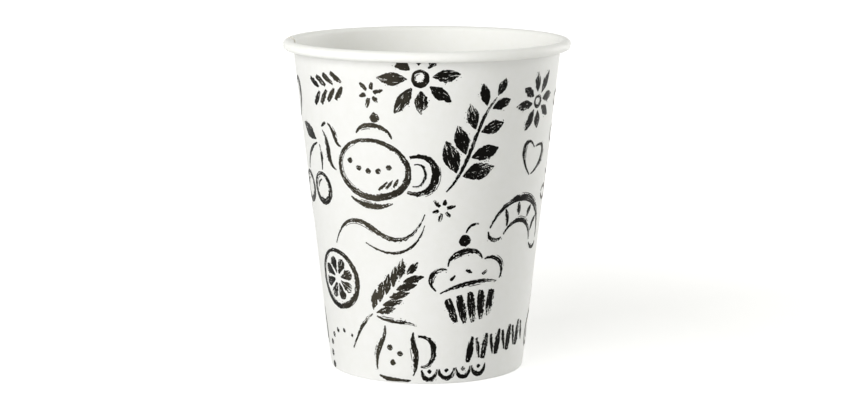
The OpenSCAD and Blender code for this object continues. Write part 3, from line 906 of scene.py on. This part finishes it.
# Ranges that loose ink is drawn from. A bristle's line: its start and its length as shares of the stroke's
# length, how far it lies off the edge, and its width. The specks: how many, how far off, and their radius.
BRISTLE_START = (0.1, 0.5)
BRISTLE_LENGTH = (0.25, 0.45)
BRISTLE_OFF = (0.24, 0.34)
BRISTLE_W = (0.16, 0.26)
SPECKS = (1, 4)
SPECK_OFF = (0.2, 0.6)
SPECK_R = (0.07, 0.15)


def loose_ink(stroke, number):
    """What a dry brush leaves beside a broad stroke: a bristle's own fine line, and a few specks."""
    stations, at = resampled(stroke, 2 * STATION)
    length, widest = at[-1], stations[:, 2].max()
    if widest < LOOSE_W or length < LOOSE_L:
        return []
    chance = np.random.default_rng(number)
    ahead = np.gradient(stations[:, :2], axis=0)
    ahead /= np.hypot(*ahead.T)[:, None]
    beside = dry_side_of(number) * np.column_stack((-ahead[:, 1], ahead[:, 0]))
    out = []
    if widest < LONG_SHAPE * length:
        start = chance.uniform(*BRISTLE_START) * length
        along = (at > start) & (at < start + chance.uniform(*BRISTLE_LENGTH) * length)
        if along.sum() > 5:
            off = 0.5 * stations[along, 2] + chance.uniform(*BRISTLE_OFF)
            line = stations[along, :2] + off[:, None] * beside[along]
            out.append(brush(line, chance.uniform(*BRISTLE_W), 0.1))
    for _ in range(chance.integers(*SPECKS)):
        i = chance.integers(len(at) // 3, len(at))
        off = 0.5 * stations[i, 2] + chance.uniform(*SPECK_OFF)
        out.append(dot(stations[i, :2] + off * beside[i], chance.uniform(*SPECK_R)))
    return out


def headings(stations, closed):
    """The way a stroke runs at each of its stations, as vectors 1 long."""
    ahead = np.roll(stations, -1, 0) - np.roll(stations, 1, 0)
    if closed:
        ahead[0] = ahead[-1] = stations[1] - stations[-2]
    else:
        ahead[0], ahead[-1] = stations[1] - stations[0], stations[-1] - stations[-2]
    return [d / np.hypot(*d) for d in ahead[:, :2]]


def on_wall(x, y, turn):
    """A point of a drawing laid on the wall, x round from the turn and y up: its height and its place
    round the sheet, kept clear of the fold, the roll and the seam's cut edge."""
    y = min(max(y, FOLD_Y + FOLD_CLEAR), UNDER_ROLL_Y - ROLL_CLEAR)
    t = math.radians(turn) - SHEET_START + x / (FOOT_R + y * SIN)
    side = side_of_seam(turn)
    if side:
        t = side * max(side * t, SEAM_CLEAR)
    return y, t % (2 * math.pi)


# A stroke wider than this has four columns of faces, and the others have two.
BROAD_W = 1.25
# Half the width that a stroke keeps however ragged it is
THIN = 0.1
# How far the ends of a stroke reach out, as shares of its width: raggedly, and rounded
RAGGED_END = 0.3
ROUND_END = 0.1
# The least dryness of a stroke. An open stroke starts with FRESH of its dryness, and gains the rest from
# DRIES_FROM of its length over DRIES_OVER of it. A closed one has CLOSED_DRY of it all along.
LEAST_DRY = 0.25
FRESH = 0.35
DRIES_FROM = 0.45
DRIES_OVER = 0.5
CLOSED_DRY = 0.5


def ink_stroke(stroke, turn, number):
    """A stroke of ink on the wall: a grid whose columns run along the stroke, with ragged edges and ends."""
    columns = 4 if stroke[:, 2].max() > BROAD_W else 2
    closed = np.hypot(*(stroke[0, :2] - stroke[-1, :2])) < SAME_PLACE / 2
    stations, at = resampled(stroke, STATION)
    rows = len(stations) - 1
    deselect()
    bpy.ops.mesh.primitive_grid_add(x_subdivisions=rows, y_subdivisions=columns, size=2, location=(0, 0, 0))
    piece = bpy.context.object
    ahead = headings(stations, closed)
    length = at[-1]
    dryness = LEAST_DRY + (1 - LEAST_DRY) * abs(wave(number * 1.37, 2.5, 0.5))
    dry_side = dry_side_of(number)
    uv, dry = [], []
    for v in piece.data.vertices:
        i = round((v.co.x + 1) / 2 * rows)
        across = v.co.y
        x, y, w = stations[i]
        s = at[i] % length if closed else at[i]
        d = ahead[i]
        side = 1 if across > 0 else -1
        half = w / 2 + rough(s, number * 3 + side, w, side == dry_side)
        half = max(half, min(THIN, w / 2))
        end = 0
        if not closed and i in (0, rows):
            reach = wave(across * 2.7, number * 1.9, i)
            end = (RAGGED_END * w * reach + ROUND_END * w * (1 - across * across)) * (1 if i else -1)
        x += d[0] * end - d[1] * across * half
        y += d[1] * end + d[0] * across * half
        y, t = on_wall(x, y, turn)
        v.co = on_cup(INK_LIFT + INK_T + lap_lift(t) + wall_wave(t, y), y, t)
        # Shifted from stroke to stroke, so that each has streaks of its own
        uv.append((at[i] + number * 11.3, across * w / 2 + number * 5.1))
        dried = smooth((s / length - DRIES_FROM) / DRIES_OVER)
        dry.append(dryness * (CLOSED_DRY if closed else FRESH + (1 - FRESH) * dried))
    layer = piece.data.uv_layers.active or piece.data.uv_layers.new()
    layer.name = "stroke"
    for corner in piece.data.loops:
        layer.data[corner.index].uv = uv[corner.vertex_index]
    piece.data.attributes.new("dry", "FLOAT", "POINT").data.foreach_set("value", dry)
    if closed:
        merge_same_places()
        bpy.ops.object.mode_set(mode="OBJECT")
    return piece


def make_print(ink_material):
    strokes = []
    for turn, share, drawing, tilt, size in FRONT_DRAWINGS + OTHER_DRAWINGS:
        for whole in laid(turn, share, drawing, tilt, size):
            number = len(strokes)
            for line in [whole] + loose_ink(whole, number):
                for i, run in enumerate(inside_runs(line, turn)):
                    strokes.append(ink_stroke(run, turn, number + i))
    deselect()
    for piece in strokes:
        piece.select_set(True)
    bpy.context.view_layer.objects.active = strokes[0]
    bpy.ops.object.join()
    piece = bpy.context.object
    piece.name = "brush_drawings"
    piece.data.materials.clear()
    for _ in range(3):
        piece.data.materials.append(ink_material)
    # Takes away the faces that were pressed flat along the seam's cut edge, the fold and the roll.
    bpy.ops.object.mode_set(mode="EDIT")
    bpy.ops.mesh.select_all(action="SELECT")
    bpy.ops.mesh.dissolve_degenerate(threshold=SAME_PLACE / 2 * MM)
    bpy.ops.object.mode_set(mode="OBJECT")
    thicken(piece, INK_T, even=False)
    finished(piece, "print")


# Stage: floor, lights and camera, in metres and degrees

# Camera, as fitted to the outline of the cup in the picture
CAMERA_AT = (0, -0.6537, 0.1537)
CAMERA_PITCH = 80.561
CAMERA_LENS = 99.5
CAMERA_SENSOR = 36
FLOOR_SIZE = 8
FLOOR_GREY = 0.88
# Where the background is seen as it is, the floor also glows, so that it meets the white background. The
# glow rises between these distances from the cup's middle, and leaves the cup its shadow.
GLOW_FROM, GLOW_TO = 0.1, 0.6
GLOW_NEAR, GLOW_FAR = 0.42, 0.9
# The lamps face this height in the cup's middle.
LAMP_AIM = 0.05


def make_floor():
    deselect()
    bpy.ops.mesh.primitive_plane_add(size=FLOOR_SIZE, location=(0, 0, 0))
    floor = bpy.context.object
    floor.name = "floor"
    m, nodes, links = new_material("floor")
    diffuse = nodes.new("ShaderNodeBsdfDiffuse")
    diffuse.inputs["Color"].default_value = (FLOOR_GREY, FLOOR_GREY, FLOOR_GREY, 1)
    coords = nodes.new("ShaderNodeTexCoord").outputs["Object"]
    away = nodes.new("ShaderNodeVectorMath")
    away.operation = "LENGTH"
    links.new(coords, away.inputs[0])
    level = nodes.new("ShaderNodeMapRange")
    level.inputs["From Min"].default_value = GLOW_FROM
    level.inputs["From Max"].default_value = GLOW_TO
    level.inputs["To Min"].default_value = GLOW_NEAR
    level.inputs["To Max"].default_value = GLOW_FAR
    links.new(away.outputs["Value"], level.inputs["Value"])
    glow = nodes.new("ShaderNodeEmission")
    links.new(level.outputs["Result"], glow.inputs["Strength"])
    both = nodes.new("ShaderNodeAddShader")
    links.new(diffuse.outputs[0], both.inputs[0])
    links.new(glow.outputs[0], both.inputs[1])
    mix = nodes.new("ShaderNodeMixShader")
    links.new(background_rays(nodes, links), mix.inputs[0])
    links.new(diffuse.outputs[0], mix.inputs[1])
    links.new(both.outputs[0], mix.inputs[2])
    out = nodes.new("ShaderNodeOutputMaterial")
    links.new(mix.outputs[0], out.inputs["Surface"])
    floor.data.materials.append(m)


def make_world(level, tint):
    """A white background, and an even light of the given level and tint on the cup."""
    world = bpy.data.worlds.new("studio")
    bpy.context.scene.world = world
    world.use_nodes = True
    nodes, links = world.node_tree.nodes, world.node_tree.links
    nodes.clear()
    seen = nodes.new("ShaderNodeBackground")
    seen.inputs["Color"].default_value = (1, 1, 1, 1)
    seen.inputs["Strength"].default_value = 1
    lit = nodes.new("ShaderNodeBackground")
    lit.inputs["Color"].default_value = tint
    lit.inputs["Strength"].default_value = level
    mix = nodes.new("ShaderNodeMixShader")
    links.new(background_rays(nodes, links), mix.inputs[0])
    links.new(lit.outputs[0], mix.inputs[1])
    links.new(seen.outputs[0], mix.inputs[2])
    out = nodes.new("ShaderNodeOutputWorld")
    links.new(mix.outputs[0], out.inputs["Surface"])


def softbox(name, turn, height, distance, width, tall, power):
    """A rectangular lamp that faces the cup, turned round it from the front."""
    lamp = bpy.data.lights.new(name, "AREA")
    lamp.shape = "RECTANGLE"
    lamp.size = width
    lamp.size_y = tall
    lamp.energy = power
    o = bpy.data.objects.new(name, lamp)
    a = math.radians(turn)
    o.location = (distance * math.sin(a), -distance * math.cos(a), height)
    aim = Vector((0, 0, LAMP_AIM)) - o.location
    o.rotation_euler = aim.to_track_quat("-Z", "Y").to_euler()
    bpy.context.scene.collection.objects.link(o)


def make_camera():
    camera = bpy.data.cameras.new("camera")
    camera.lens = CAMERA_LENS
    camera.sensor_width = CAMERA_SENSOR
    o = bpy.data.objects.new("camera", camera)
    o.location = CAMERA_AT
    o.rotation_euler = (math.radians(CAMERA_PITCH), 0, 0)
    bpy.context.scene.collection.objects.link(o)
    bpy.context.scene.camera = o


make_camera()
make_floor()
make_world(level=0.38, tint=(1, 1, 0.925, 1))
softbox("key", turn=-36, height=0.44, distance=0.9, width=0.9, tall=0.75, power=7)
softbox("fill", turn=122, height=0.12, distance=0.9, width=0.4, tall=0.7, power=5.2)

printed_white = paper("printed_white", light=linear(240, 240, 239), dark=linear(238, 238, 236),
                      roughness=0.55, specular=0.35, fibre=0.3)
coated_white = paper("coated_white", light=linear(252, 252, 250), dark=linear(250, 250, 247),
                     roughness=0.5, specular=0.3, fibre=0.2)
cut_board = paper("cut_board", light=linear(235, 233, 226), dark=linear(226, 223, 214),
                  roughness=0.8, specular=0.2, fibre=0.8)
bare_board = paper("bare_board", light=linear(238, 237, 230), dark=linear(232, 231, 222),
                   roughness=0.65, specular=0.3, fibre=0.5)

make_sidewall(printed_white, coated_white, cut_board)
make_base(bare_board, coated_white, cut_board)
make_print(ink("brush_ink"))

bpy.context.scene.view_settings.view_transform = "Standard"
